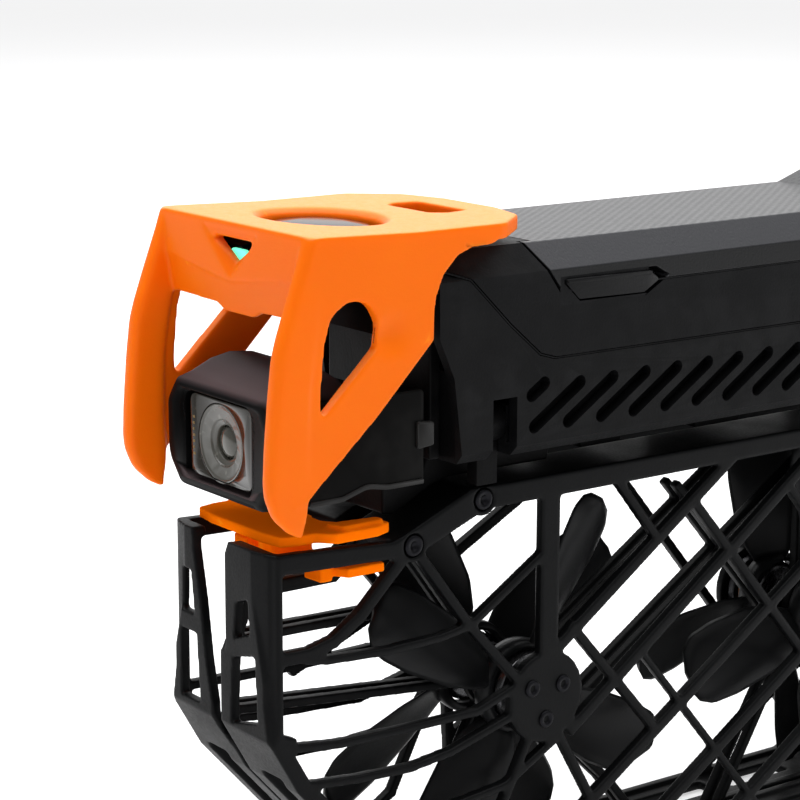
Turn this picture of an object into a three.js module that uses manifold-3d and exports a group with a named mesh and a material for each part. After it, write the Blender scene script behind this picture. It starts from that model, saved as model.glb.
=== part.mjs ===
// A palm-size folding camera drone, folded for storage, with an orange clip-on guard round its gimbal.
// Two propeller cages hang under the body like the covers of a book and hinge outwards to fly.
// Millimetres. X is across the drone, Y runs from the front to the back, Z is up. Everything is laid
// out from the front face of the cages (Y = 0) and the floor (Z = 0), then moved to mid-length.
import * as THREE from 'three';
import { mergeVertices } from 'three/addons/utils/BufferGeometryUtils.js';
import { ConvexGeometry } from 'three/addons/geometries/ConvexGeometry.js';
import Module from 'manifold-3d';

const wasm = await Module();
wasm.setup();

// ---- driving dimensions ----
const GAP = 0.3; // clearance between neighbouring pieces
const MID_LENGTH = 70; // the middle of the whole drone, measured back from the cages' front face

const BODY_HALF = 16.5; // half the body's width
const BODY_WALL = 1.7;
const BODY_BOTTOM = 70.5;
const BODY_REAR = 144;
const PARTING_Z = 83.3; // line between the lower and the upper shell
const PACK_Z = 93; // bottom edge of the battery pack's outer skin
const TOP_Z = 99.8; // flat top of the body
const HUMP_Z = 103.7; // raised rear end of the battery pack
const HUMP_Y = 122;

const HINGE_X = 11.7;
const HINGE_Z = 75;
const HINGE_YS = [36.7, 122]; // middles of the front and rear wing hinges
const HINGE_ARM = 3.6; // width of a hinge arm along Y
const HINGE_SLOT = 4.2;
const PIN_R = 1;
const PIN_HOLE_R = 1.3;

const CAGE_IN = 0.4; // the cage's inner face
const GRILLE = 1.6; // thickness of a grille
const FRAME_WIDTH = 2.4; // width of the band round a grille
const CAGE_OUT = 12.6; // the cage's outer face
const RIM = 1.5; // thickness of the cage's edge wall
const RIM_IN = CAGE_IN + GRILLE + GAP;
const RIM_OUT = CAGE_OUT - GRILLE - GAP;
const RAIL_TOP = 65.8;
const HUB_Z = 32.8;
const HUB_FRONT_Y = 48.2;
const HUB_REAR_Y = 112.2;
const HUB_R = 6.8;

const PROP_R = 30;
const PROP_X = 5.6;
const BLADES = 4;
const BLADE_PITCH = 0.3;

const GUARD_HALF = 18.7;
const GUARD_TOP = 104.2;
const PLATE_TOP = 103.6; // the guard's top plate, behind its raised front edge
const PLATE_BOTTOM = 101.9;
const CHEEK_IN = 16.8;
const TUSK_IN = 16.2;
const VISOR_Y = [3, 4.5];

const NOSE_HALF = 14.4;
const NOSE_TOP = 101.5;
const MODE_Y = 17.6; // middle of the mode button
const POWER_Y = 35.2; // middle of the power button
const LED_Z = 99.6;
const ROLL_Z = 74.5; // height of the gimbal's roll and pitch axes
const PITCH_Y = 8;
const CAMERA_HALF = 11.7;
const BEZEL_HALF = 13.2;
const ARM_X = [13.6, 15.2];

// ---- helpers: outlines ----
// An outline is a list of [u, v] points. Side outlines are (Y, Z), front ones (X, Z), plans (X, Y).
function shapeOf(points, holes = []) {
  const shape = new THREE.Shape(points.map(([u, v]) => new THREE.Vector2(u, v)));
  for (const hole of holes) {
    shape.holes.push(new THREE.Path(hole.map(([u, v]) => new THREE.Vector2(u, v))));
  }
  return shape;
}

function rectangle(u0, u1, v0, v1) {
  return [[u0, v0], [u1, v0], [u1, v1], [u0, v1]];
}

function ellipse(u, v, ru, rv = ru, sides = 24) {
  const point = (_, i) => {
    const angle = (i / sides) * 2 * Math.PI;
    return [u + ru * Math.cos(angle), v + rv * Math.sin(angle)];
  };
  return Array.from({ length: sides }, point);
}

// A straight bar from a to b, a little longer than the distance so that crossing bars merge.
function barOutline(a, b, width, extra = 0.4) {
  const along = new THREE.Vector2(b[0] - a[0], b[1] - a[1]).normalize();
  const half = new THREE.Vector2(-along.y, along.x).multiplyScalar(width / 2);
  const start = [a[0] - along.x * extra, a[1] - along.y * extra];
  const end = [b[0] + along.x * extra, b[1] + along.y * extra];
  return [
    [start[0] - half.x, start[1] - half.y],
    [end[0] - half.x, end[1] - half.y],
    [end[0] + half.x, end[1] + half.y],
    [start[0] + half.x, start[1] + half.y],
  ];
}

const mirrorOutline = (points) => points.map(([u, v]) => [-u, v]);
const symmetric = (points) => [...points, ...mirrorOutline(points).reverse()];

// ---- helpers: solids ----
function toSolid(geometry) {
  const bare = geometry.clone();
  bare.deleteAttribute('normal');
  bare.deleteAttribute('uv');
  const merged = mergeVertices(bare, 1e-4);
  const mesh = new wasm.Mesh({
    numProp: 3,
    vertProperties: new Float32Array(merged.attributes.position.array),
    triVerts: new Uint32Array(merged.index.array),
  });
  return new wasm.Manifold(mesh);
}

const EXTRUDE_BASIS = {
  x: new THREE.Matrix4().makeBasis(
    new THREE.Vector3(0, 1, 0), new THREE.Vector3(0, 0, 1), new THREE.Vector3(1, 0, 0)),
  y: new THREE.Matrix4().makeBasis(
    new THREE.Vector3(1, 0, 0), new THREE.Vector3(0, 0, 1), new THREE.Vector3(0, -1, 0)),
  z: new THREE.Matrix4(),
};

// Pushes an outline along an axis, between two places on that axis.
function slab(axis, from, to, points, holes) {
  const depth = to - from;
  const geometry = new THREE.ExtrudeGeometry(shapeOf(points, holes), { depth, bevelEnabled: false });
  geometry.applyMatrix4(EXTRUDE_BASIS[axis]);
  const start = { x: [from, 0, 0], y: [0, to, 0], z: [0, 0, from] }[axis];
  return toSolid(geometry.translate(...start));
}

const box = (x0, x1, y0, y1, z0, z1) => slab('z', z0, z1, rectangle(x0, x1, y0, y1));
const rod = (axis, u, v, r, from, to, sides = 20) => slab(axis, from, to, ellipse(u, v, r, r, sides));
const join = (solids) => solids.reduce((sum, solid) => sum.add(solid));
const cut = (solid, tools) => tools.reduce((rest, tool) => rest.subtract(tool), solid);

function toGeometry(solid) {
  const mesh = solid.getMesh();
  const geometry = new THREE.BufferGeometry();
  geometry.setAttribute('position', new THREE.BufferAttribute(new Float32Array(mesh.vertProperties), 3));
  geometry.setIndex(new THREE.BufferAttribute(new Uint32Array(mesh.triVerts), 1));
  return geometry;
}

function mirrorGeometry(geometry) {
  const mirrored = geometry.clone().scale(-1, 1, 1);
  const index = mirrored.index;
  for (let i = 0; i < index.count; i += 3) {
    const first = index.getX(i);
    index.setX(i, index.getX(i + 1));
    index.setX(i + 1, first);
  }
  return mirrored;
}

function finish(color, roughness, metalness = 0) {
  return new THREE.MeshStandardMaterial({ color, roughness, metalness });
}

const drone = new THREE.Group();
drone.position.y = -MID_LENGTH;

function addPart(name, solid, material) {
  const geometry = solid.isBufferGeometry ? solid : toGeometry(solid);
  geometry.computeVertexNormals();
  const mesh = new THREE.Mesh(geometry, material);
  mesh.name = name;
  drone.add(mesh);
}

// ---- body shells ----
const bodySection = symmetric([[15, BODY_BOTTOM], [BODY_HALF, 72], [BODY_HALF, 96], [14, TOP_Z]]);
const bodyEnvelope = slab('y', 25, BODY_REAR, bodySection);

// The parting line falls from the nose to the side, then runs straight back.
const partingLine = [[25.3, 97.4], [30.4, 95.8], [37.3, 89], [42.7, 84.3], [45.4, 83.5]];

// A slot with round ends, cut through both side walls.
function ventCut([a, b]) {
  const radius = 1;
  const slot = barOutline(a, b, radius * 2, 0);
  return [[14.2, 20], [-20, -14.2]].map(([from, to]) => {
    const ends = [a, b].map(([y, z]) => rod('x', y, z, radius, from, to, 12));
    return join([slab('x', from, to, slot), ...ends]);
  });
}

function ventCuts() {
  const count = 12;
  const step = 6.1;
  const shortSlot = [[41.4, 78.9], [43.6, 80.3]];
  const slots = Array.from({ length: count }, (_, i) => {
    const shift = i * step;
    return [[41.9, 74.4], [50.1, 79.7]].map(([y, z]) => [y + shift, z]);
  });
  return [shortSlot, ...slots].flatMap(ventCut);
}

function hingeSlots() {
  const edge = 8.4; // how far in from the side wall the notch in the floor starts
  return HINGE_YS.flatMap((y) => [1, -1].map((side) => {
    const from = side > 0 ? edge : -20;
    const to = side > 0 ? 20 : -edge;
    return box(from, to, y - HINGE_SLOT / 2, y + HINGE_SLOT / 2, 70, 79);
  }));
}

// Lugs on the floor of the lower shell hold both ends of each hinge pin.
function hingeLugs() {
  const inner = HINGE_SLOT / 2;
  const outer = inner + 2;
  return HINGE_YS.flatMap((y) => [1, -1].flatMap((side) => [-1, 1].map((end) => {
    const near = y + end * inner;
    const far = y + end * outer;
    const x = side * HINGE_X;
    const span = [Math.min(near, far), Math.max(near, far)];
    return box(x - 2.4, x + 2.4, span[0], span[1], 71, 77.4);
  })));
}

function pinHoles() {
  const reach = 3.9;
  const hole = (y, side) => rod('y', side * HINGE_X, HINGE_Z, PIN_HOLE_R, y - reach, y + reach);
  return HINGE_YS.flatMap((y) => [hole(y, 1), hole(y, -1)]);
}

function lowerShell() {
  const front = [[25.4, 88.4], [27.9, 82.7], [28.8, 76], [29.4, BODY_BOTTOM]];
  const rear = [[142.5, BODY_BOTTOM], [BODY_REAR, 72], [BODY_REAR, PARTING_Z]];
  const outline = [...partingLine, ...rear.reverse(), ...front.reverse()];
  const skin = slab('x', -BODY_HALF, BODY_HALF, outline).intersect(bodyEnvelope);
  const inside = BODY_HALF - BODY_WALL;
  const cavity = box(-inside, inside, 31, 142.3, 72.2, 100);
  const gimbalBay = box(-inside, inside, 20, 29.3, 70, 100);
  const noseBay = box(-inside, inside, 20, 31.1, 83, 100);
  const portHole = slab('y', 140, 145, rectangle(-4.8, 4.8, 75.2, 79.2));
  const tub = cut(skin, [cavity, gimbalBay, noseBay, portHole]);
  return cut(join([tub, ...hingeLugs()]), [...ventCuts(), ...hingeSlots(), ...pinHoles()]);
}

const latchOutline = [[46.8, 94.4], [49.6, 91.4], [61.8, 91.2], [65.9, 93.4], [63.6, 94.4]];
const latchRoom = [[46.3, 94.8], [46.3, 90.9], [62, 90.8], [66.6, 93.4], [63.9, 94.8]];
const packFront = [[41.5, TOP_Z], [46.6, PACK_Z]];
// The middle of the upper shell reaches back under the guard as a flat tongue.
const TONGUE_HALF = 12.8;
const TONGUE_END = 43.2;

function upperShell() {
  const seam = [[41.1, TOP_Z], [46.2, PACK_Z - GAP], [BODY_REAR - 0.2, PACK_Z - GAP]];
  const under = partingLine.map(([y, z]) => [y + GAP, z + 0.35]);
  const rear = [BODY_REAR - 0.2, PARTING_Z + GAP + 0.1];
  const outline = [[25.6, TOP_Z], ...under, rear, ...seam.reverse()];
  const skin = slab('x', -BODY_HALF, BODY_HALF, outline).intersect(bodyEnvelope);
  const packBay = box(-14.2, 14.2, 48.4, 140, 85.2, 94);
  const noseBay = box(-12.5, 12.5, 28, 43.5, 83, 98);
  const latchGap = slab('x', -20, 20, latchRoom);
  const buttonHole = rod('z', 0, POWER_Y, 3.9, 97, 100.5, 28);
  const tongue = box(-TONGUE_HALF, TONGUE_HALF, 39.6, TONGUE_END, 96.8, TOP_Z);
  return cut(skin, [packBay, noseBay, latchGap, buttonHole]).add(tongue);
}

function noseHousing() {
  const outline = [
    [5.6, 93.2], [20, 88.6], [24.9, 88.2], [24.9, NOSE_TOP], [7.4, NOSE_TOP], [5.6, 100.6],
  ];
  const shell = slab('x', -NOSE_HALF, NOSE_HALF, outline);
  const hollow = box(-NOSE_HALF + 2, NOSE_HALF - 2, 8, 23, 91.5, 99.4);
  const buttonHole = slab('z', 99, 103, ellipse(0, MODE_Y, 8.4, 5.4, 32));
  const ledHole = rod('y', 0, LED_Z, 1.5, 5, 8.4, 16);
  return cut(shell, [hollow, buttonHole, ledHole]);
}

function batteryCase() {
  const rear = [
    [BODY_REAR, PACK_Z], [BODY_REAR, 100], [141, HUMP_Z], [HUMP_Y + 4, HUMP_Z], [HUMP_Y - 4, TOP_Z],
  ];
  const skin = slab('x', -BODY_HALF, BODY_HALF, [packFront[1], ...rear, packFront[0]]);
  const section = symmetric([[BODY_HALF, 90], [BODY_HALF, 96], [14, TOP_Z], [11.5, HUMP_Z]]);
  const shaped = skin.intersect(slab('y', 30, BODY_REAR + 1, section));
  const pocket = box(-12.9, 12.9, 50, 138, 90, 98.3);
  const latchRooms = [[13.6, 20], [-20, -13.6]].map(([from, to]) => slab('x', from, to, latchRoom));
  const tongueRoom = box(-TONGUE_HALF - GAP, TONGUE_HALF + GAP, 38, TONGUE_END + GAP, 96.2, TOP_Z + 1);
  return cut(shaped, [pocket, tongueRoom, ...latchRooms]);
}

function hingePins() {
  const halfPin = 3.6;
  const material = finish(0x9a9da1, 0.35, 0.9);
  const ends = ['front', 'rear'];
  for (const [i, y] of HINGE_YS.entries()) {
    for (const side of [1, -1]) {
      const name = `hinge_pin_${ends[i]}_${side > 0 ? 'right' : 'left'}`;
      addPart(name, rod('y', side * HINGE_X, HINGE_Z, PIN_R, y - halfPin, y + halfPin, 16), material);
    }
  }
}

function addBody() {
  const black = finish(0x242527, 0.62);
  addPart('lower_shell', lowerShell(), black);
  addPart('upper_shell', upperShell(), finish(0x28292b, 0.6));
  addPart('nose_housing', noseHousing(), finish(0x1b1c1e, 0.5));
  addPart('mode_button', slab('z', 99.9, 101.9, ellipse(0, MODE_Y, 8, 5, 32)), finish(0x0d0f14, 0.08));
  addPart('power_button', rod('z', 0, POWER_Y, 3.5, 98.4, 100.6, 28), finish(0x2c2d30, 0.45));
  addPart('status_led', rod('y', 0, LED_Z, 1.1, 4.9, 7.9, 16), finish(0x2fe0a8, 0.2));
  addPart('main_board', box(-13, 13, 46, 115, 80.2, 81.8), finish(0x14532f, 0.5));
  addPart('usb_port', slab('y', 136.5, 143.6, ellipse(0, 77.2, 4.4, 1.7, 20)), finish(0xa8abae, 0.3, 0.9));
  hingePins();
}

function addUnderside() {
  const dark = finish(0x111214, 0.4);
  const pods = { front_sensor_pod: [58.8, 68.5], rear_sensor_pod: [81.7, 92.8] };
  for (const [name, [from, to]] of Object.entries(pods)) {
    const outline = [[from, 70.2], [from + 0.9, 66.8], [to - 0.9, 66.8], [to, 70.2]];
    const windowHole = rod('z', 0, (from + to) / 2, 2.7, 66, 69.2, 20);
    addPart(name, slab('x', -5.6, 5.6, outline).subtract(windowHole), dark);
  }
  const chin = [
    [22.4, 62.9], [24.4, 62.6], [31, 65.9], [34, 66.6], [51.8, 66.6], [52.6, 70.2], [30, 70.2], [29.2, 68],
    [22.4, 68],
  ];
  addPart('chin_cover', slab('x', -7.6, 7.6, chin), dark);
  addPart('downward_lens', rod('z', 0, 63.65, 2.3, 67.1, 68.9, 20), finish(0x1a2230, 0.1));
}

function addBattery() {
  addPart('battery_case', batteryCase(), finish(0x3a3b3d, 0.5));
  addPart('battery_cells', box(-12.6, 12.6, 50.4, 137.6, 85.6, 98), finish(0x5a6068, 0.5));
  addPart('battery_connector', box(-7, 7, 48.7, 50.1, 87, 90.5), finish(0xb58a3a, 0.4, 0.8));
  const latchMaterial = finish(0x2b2c2e, 0.55);
  addPart('latch_right', slab('x', 14.9, 16.3, latchOutline), latchMaterial);
  addPart('latch_left', slab('x', -16.3, -14.9, latchOutline), latchMaterial);
}

// ---- orange guard and wing clip ----
// The tusk's front edge, from the top corner down to the tip, then up its back.
const tuskFront = [
  [3, GUARD_TOP], [1, 98.4], [-1.3, 91.5], [-2.5, 83.5], [-3.2, 77.5], [-3.4, 72.5], [-2.6, 69.2],
  [-1.1, 67], [1.4, 65.2],
];
const tuskBack = [[2.8, 69.3], [4.3, 71.4]];
const cheekBack = [
  [13.9, 80.1], [22.7, 88.9], [23, 94.4], [24.3, 97.6], [26.6, 99.8], [30.2, 101.4], [34.5, 102.4],
  [34.5, PLATE_TOP], [20, PLATE_TOP],
];
const teardrop = [
  [5.2, 80.7], [13.4, 89], [13.9, 91.4], [12.8, 93.8], [10.2, 95.3], [7.2, 94.5], [5.6, 91.8], [4.9, 87],
];

function guardSide(side) {
  const cheekSpan = side > 0 ? [CHEEK_IN, GUARD_HALF] : [-GUARD_HALF, -CHEEK_IN];
  const tuskSpan = side > 0 ? [TUSK_IN, GUARD_HALF] : [-GUARD_HALF, -TUSK_IN];
  const cheek = slab('x', ...cheekSpan, [...tuskFront, ...tuskBack, ...cheekBack], [teardrop]);
  const tusk = slab('x', ...tuskSpan, [...tuskFront, ...tuskBack, [4.6, 80], [4.6, GUARD_TOP]]);
  return cheek.add(tusk);
}

function gimbalGuard() {
  const plan = symmetric([[GUARD_HALF, 3], [GUARD_HALF, 35.2], [13, 41.2], [12.2, 42.8]]);
  const modeHole = ellipse(0, MODE_Y, 10, 8, 36);
  const powerHole = symmetric([[4.6, 38.4], [6, 36.9], [6, 33.6], [5, 32]]);
  const wedge = [[3, PLATE_BOTTOM], [44, PLATE_BOTTOM], [44, PLATE_TOP], [20, PLATE_TOP], [3, GUARD_TOP]];
  const sheet = slab('z', 100, 106, plan, [modeHole, powerHole]);
  const plate = sheet.intersect(slab('x', -GUARD_HALF, GUARD_HALF, wedge));
  const visorEdge = symmetric([[17, GUARD_TOP], [17, 92.8], [6, 92.6], [3.5, 91.8]].reverse()).reverse();
  const visor = slab('y', ...VISOR_Y, visorEdge, [[[-5.5, 102.2], [0, 98.8], [5.5, 102.2]]]);
  return join([plate, visor, guardSide(1), guardSide(-1)]);
}

function wingClip() {
  const upper = symmetric([[13, 2.6], [13, 20.5], [9.6, 20.5], [9.6, 15.5], [6, 13.6]]);
  const lower = symmetric([[12.4, 12.4], [12.4, 19.6], [8.6, 19.6], [7, 16], [1.6, 15.4]]);
  const web = box(-2, 2, 8, 14.6, 56.4, 63.2);
  const heel = box(-2, 2, 12.4, 15.4, 56.4, 57.7);
  const plate = slab('z', 61.6, 63.2, upper);
  const lowerPlate = slab('z', 56.4, 57.6, lower);
  return join([plate, web, heel, lowerPlate]);
}

// ---- gimbal and camera ----
function gimbalArm() {
  const panel = [
    [5, 68], [10.4, 68], [14.5, 69.2], [17.8, 68.6], [24, 68.6], [24, 73.4], [25.4, 74], [25.4, 77],
    [24, 77.6], [24, 81.7], [7, 81.7], [5, 80],
  ];
  const side = slab('x', ...ARM_X, panel);
  const yoke = slab('y', 20, 21.8, [[-7, 71], [-4, 69], [14.4, 69], [14.4, 80.6], [-4, 80.6], [-7, 78]]);
  return side.add(yoke);
}

const cameraSide = [
  [4, 66.8], [11, 67], [14.4, 68.8], [17.2, 72], [17.2, 78], [15, 82.6], [10.5, 84.8], [7, 84.6], [4, 83],
];

function cameraHousing() {
  const block = slab('x', -CAMERA_HALF, CAMERA_HALF, cameraSide);
  const section = symmetric([[9.2, 66.5], [CAMERA_HALF, 69.4], [CAMERA_HALF, 80.6], [9.4, 84.9]]);
  const motorPocket = rod('x', PITCH_Y, ROLL_Z, 4.6, 8, 14, 24);
  const lensPocket = rod('y', 0, ROLL_Z, 6.3, 3, 7, 32);
  return cut(block.intersect(slab('y', 0, 20, section)), [motorPocket, lensPocket]);
}

function cameraBezel() {
  const outline = symmetric([[9.8, 66.9], [BEZEL_HALF, 70.6], [BEZEL_HALF, 79.6], [11.4, 81.8]]);
  const windowHole = rectangle(-8.8, 8.8, 68.6, 80.4);
  return slab('y', 0.7, 3.7, outline, [windowHole]);
}

function addCamera() {
  const grey = finish(0x33302f, 0.42);
  addPart('gimbal_bracket', box(-12, 12, 27.1, 28.9, 70.8, 92), finish(0x1a1b1d, 0.6));
  addPart('roll_motor', rod('y', 0, ROLL_Z, 5.4, 22.1, 26.8, 24), finish(0x7d7f82, 0.35, 0.8));
  addPart('gimbal_arm', gimbalArm(), grey);
  addPart('pitch_motor', rod('x', PITCH_Y, ROLL_Z, 4.2, 8.4, 13.3, 24), finish(0x7d7f82, 0.35, 0.8));
  addPart('camera_housing', cameraHousing(), grey);
  addPart('camera_bezel', cameraBezel(), finish(0x26262a, 0.35));
  const lensHole = ellipse(0, ROLL_Z, 6.6, 5, 28);
  const windowPane = slab('y', 1.4, 3.2, rectangle(-8.5, 8.5, 68.9, 80.1), [lensHole]);
  addPart('lens_window', windowPane, finish(0x3a3a36, 0.2));
  const barrel = slab('y', 4, 6.7, ellipse(0, ROLL_Z, 5.9, 5.9, 32), [ellipse(0, ROLL_Z, 4.4, 4.4, 32)]);
  addPart('lens_barrel', barrel, finish(0x17181a, 0.3));
  addPart('lens_element', rod('y', 0, ROLL_Z, 4.1, 4.2, 6.2, 28), finish(0x9fb0a4, 0.05));
}

// ---- wings: a cage with two motors and two propellers each ----
const cageEdge = [
  [0.3, 61.6], [0.3, 35.8], [4.9, 27.8], [14.7, 16.8], [22, 7.6], [30, 0], [121, 0], [134, 6.6],
  [BODY_REAR, 20],
  [BODY_REAR, 55.6], [137, RAIL_TOP], [34.2, RAIL_TOP], [23.6, 61.4], [20.8, 60.4], [12, 61],
];
const SCREW_YZ = [[24.2, 59.3], [36.3, 64]];
const NODE_X = [34.3, 46]; // where four ribs cross in front of the front hub
const HUBS = [[HUB_FRONT_Y, HUB_Z], [HUB_REAR_Y, HUB_Z]];

// Moves every edge of an outline inwards by a distance (the outline runs anticlockwise).
function inset(points, distance) {
  const count = points.length;
  return points.map((point, i) => {
    const before = points[(i + count - 1) % count];
    const after = points[(i + 1) % count];
    const a = new THREE.Vector2(point[0] - before[0], point[1] - before[1]).normalize();
    const b = new THREE.Vector2(after[0] - point[0], after[1] - point[1]).normalize();
    const bisector = new THREE.Vector2(-a.y - b.y, a.x + b.x).normalize();
    const reach = distance / Math.max(0.3, bisector.dot(new THREE.Vector2(-a.y, a.x)));
    return [point[0] + bisector.x * reach, point[1] + bisector.y * reach];
  });
}

// A rib is [width, point, point, ...]. Front ribs sweep back to the hub; behind it, parallel diagonals
// climb to the top rail. The right grille and the left one have different patterns.
const rearHubRibs = [[3, HUBS[1], [HUB_REAR_Y, 64.5]], [1.3, HUBS[1], [143, 26.8]]];
const rightRibs = [
  [3.4, [48.6, 34], [48.6, 64]], [1.4, SCREW_YZ[0], NODE_X, [43.4, 36]], [1.3, NODE_X, [48, 54.6]],
  [1.2, [6.6, 46.3], [10, 45.6], [20, 45], [29, 45.2], NODE_X], [2, [0.8, 47.1], [6, 47]],
  [1.8, [6.2, 46.9], [11, 48], [15.4, 50.8], SCREW_YZ[0]], [1.8, [0.8, 36.4], [4.2, 34.9]],
  [1.2, [0.8, 36.6], [5, 34.2], [12, 33.3], [22, 33.1], [35.6, 33], [43, 35.4]],
  [1.2, [5, 28.6], [15, 27.6], [24, 27.2], [31, 28], [42, 31]],
  [1.2, [12.6, 19.6], [24, 19.4], [33, 20], [41, 20.8], [50.4, 26]], [1.3, [25, 5], [38, 13], HUBS[0]],
  [1.9, [49, 38.8], [84.4, 63.4]], [1.9, [53, 26.6], [84.3, 48.8], [105, 63.6]],
  [1.9, [52, 11.3], [93.2, 38.5], [130.6, 63.4]], [1.9, [58, 1], [100, 28.7], [141, 55.8]],
  [1.9, [79, 1], [143, 43.2]], [1.9, [100, 1], [143, 29.4]],
  [1.4, [53, 42.6], [70, 23.2]], [1.3, [61.4, 63], [69, 53.6]], [1, [66.6, 36.2], [96.4, 1]],
  [1.4, [76.4, 57.8], [84.3, 48.8], [93.2, 38.5], [125.6, 1]], [1.3, [50.6, 27], [62, 7]],
  [1.3, [96, 57.6], [112.2, 38.6]], [1.3, [118, 55], [142, 27.6]], ...rearHubRibs,
];
const leftRibs = [
  [1.8, [68.4, 26], [68.4, 64]], [1.3, [0.8, 37.2], [20, 36.4], [34, 36.6], HUBS[0]],
  [1.3, [0.8, 31.4], [17, 30], [32, 29.2], HUBS[0]], [1.3, [8, 24], [30, 22.8], [41, 23.4], HUBS[0]],
  [1.8, [20, 35.8], [45.6, 46.4], [62, 55.2], [77, 63.6]], [1.6, HUBS[0], [50, 1]],
  [1.4, SCREW_YZ[0], [40, 41], HUBS[0]], [1.4, [25, 5], [38, 13], HUBS[0]],
  [1.9, [49.2, 19.1], [118, 63]], [1.9, [47, 1.2], [130, 56], [141, 63.3]], [1.9, [75, 1], [143, 45.9]],
  [1.9, [100, 1], [143, 29.4]], [1.4, [83.5, 55], [103, 32], [128, 2]], ...rearHubRibs,
];

// Inner ribs fan out from both hubs.
const innerRibs = [
  [1.3, HUBS[0], [0.8, 37.4]], [1.3, [50, 31.2], [100, 63.2]], [1.3, HUBS[0], [39, 16], [32, 1]],
  [1.3, HUBS[0], [32.5, 54], [27, 61]], [1.3, HUBS[0], [30, 46.5], [0.8, 47.2]],
  [1.3, HUBS[0], [70, 12], [79, 1]],
  [1.3, [57, 21.5], [118, 61]], [1.3, [83, 57], [115, 21]], [1.3, HUBS[1], [133, 62]],
  [1.3, HUBS[1], [143, 30]], [1.3, HUBS[1], [128, 3]], [1.3, HUBS[1], [93, 1]], [1.3, HUBS[1], [112.2, 62]],
];

function ribSolids(ribs, from, to) {
  return ribs.flatMap(([width, ...points]) => {
    const bar = (point, i) => slab('x', from, to, barOutline(points[i], point, width));
    const bars = points.slice(1).map(bar);
    const bends = points.slice(1, -1).map(([y, z]) => rod('x', y, z, width / 2, from, to, 8));
    return [...bars, ...bends];
  });
}

const railRibs = [
  [3, [1.6, 60.2], SCREW_YZ[0]], [3.2, SCREW_YZ[0], SCREW_YZ[1]], [3, SCREW_YZ[1], [137, 64.3]],
];

function cageGrille(wingRibs) {
  const from = CAGE_OUT - GRILLE;
  const frame = slab('x', from, CAGE_OUT, cageEdge, [inset(cageEdge, FRAME_WIDTH)]);
  const ribs = ribSolids([...railRibs, ...wingRibs], from, CAGE_OUT);
  const hubs = HUBS.map(([y, z]) => rod('x', y, z, HUB_R, from, CAGE_OUT, 28));
  const bosses = SCREW_YZ.map(([y, z]) => rod('x', y, z, 2.4, from, CAGE_OUT, 20));
  const whole = slab('x', from, CAGE_OUT, cageEdge);
  const grille = join([frame, ...ribs, ...hubs, ...bosses]).intersect(whole);
  const holes = SCREW_YZ.map(([y, z]) => rod('x', y, z, 1.7, CAGE_OUT - 0.9, CAGE_OUT + 1, 16));
  return cut(grille, [...holes, cornerFacet()]);
}

// Openings in the front plate of each cage, as (X, Z). The inner edge leans away from the other cage.
const FRONTS = {
  right: {
    lean: [[-1, 44], [0.4, 44], [0.8, 50.2], [2, 57.5], [2.7, 62.5], [2.7, 66], [-1, 66]],
    windows: [
      [[3.9, 48.4], [7.8, 49.8], [7.2, 54.5], [4.6, 53.6]],
      [[3, 36.2], [9.5, 37.8], [8.9, 47], [3.6, 45.7]],
    ],
  },
  left: {
    lean: [
      [-1, 30], [0.4, 30], [1.9, 34.7], [3.2, 43.5], [4.5, 51.7], [6, 58.5], [6.4, 62.5], [6.4, 66], [-1, 66],
    ],
    windows: [
      [[6.1, 49.3], [9.5, 49.3], [9.2, 55.4], [6.9, 55.4]],
      [[4.9, 36.8], [9.8, 36.8], [9.6, 46.7], [5.7, 46.7]],
    ],
  },
};

const leanCut = (front) => slab('y', -1, 3.2, front.lean);

// The cage's rim runs round between the two grilles. Its front, rear and floor have windows.
function cageRim(front) {
  const ring = slab('x', RIM_IN, RIM_OUT, cageEdge, [inset(cageEdge, RIM)]);
  const clipRoom = box(0, RIM_OUT + 1, 2.6, 21, 57, 63);
  const lowWindow = slab('z', 8, 29, rectangle(4.4, 9.4, 0, 24));
  const floorWindow = box(4.8, 9.2, 34, 116, -1, 2);
  const rearWindow = slab('y', 140, 150, rectangle(4.1, 9.6, 26, 50));
  const frontCuts = front.windows.map((outline) => slab('y', -1, 4, outline));
  const footBars = [46, 64, 82, 100].map((y) => box(4, 10, y, y + 3, 0, RIM));
  const opened = cut(ring, [clipRoom, lowWindow, floorWindow, rearWindow, ...frontCuts]);
  return cut(join([opened, ...footBars]), [leanCut(front), cornerFacet()]);
}

// The facet that takes off the front plate's outer corner, wide at the top and narrow at the foot.
function cornerFacet() {
  const top = [[6.8, -0.2, 62.5], [13.2, -0.2, 62.5], [13.2, 1.9, 62.5]];
  const foot = [[12.2, -0.2, 34], [13.2, -0.2, 34], [13.2, 1.9, 34]];
  return toSolid(new ConvexGeometry([...top, ...foot].map((corner) => new THREE.Vector3(...corner))));
}

// A hinge arm rises from the top rail to its pin inside the body.
function hingeArm(y) {
  const span = [y - HINGE_ARM / 2, y + HINGE_ARM / 2];
  const shank = box(10.4, 12.6, span[0], span[1], RAIL_TOP + GAP, HINGE_Z - 1);
  const eye = rod('y', HINGE_X, HINGE_Z, 2.9, span[0], span[1], 24);
  return cut(shank.add(eye), [rod('y', HINGE_X, HINGE_Z, PIN_HOLE_R, y - 4, y + 4, 20)]);
}

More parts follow.
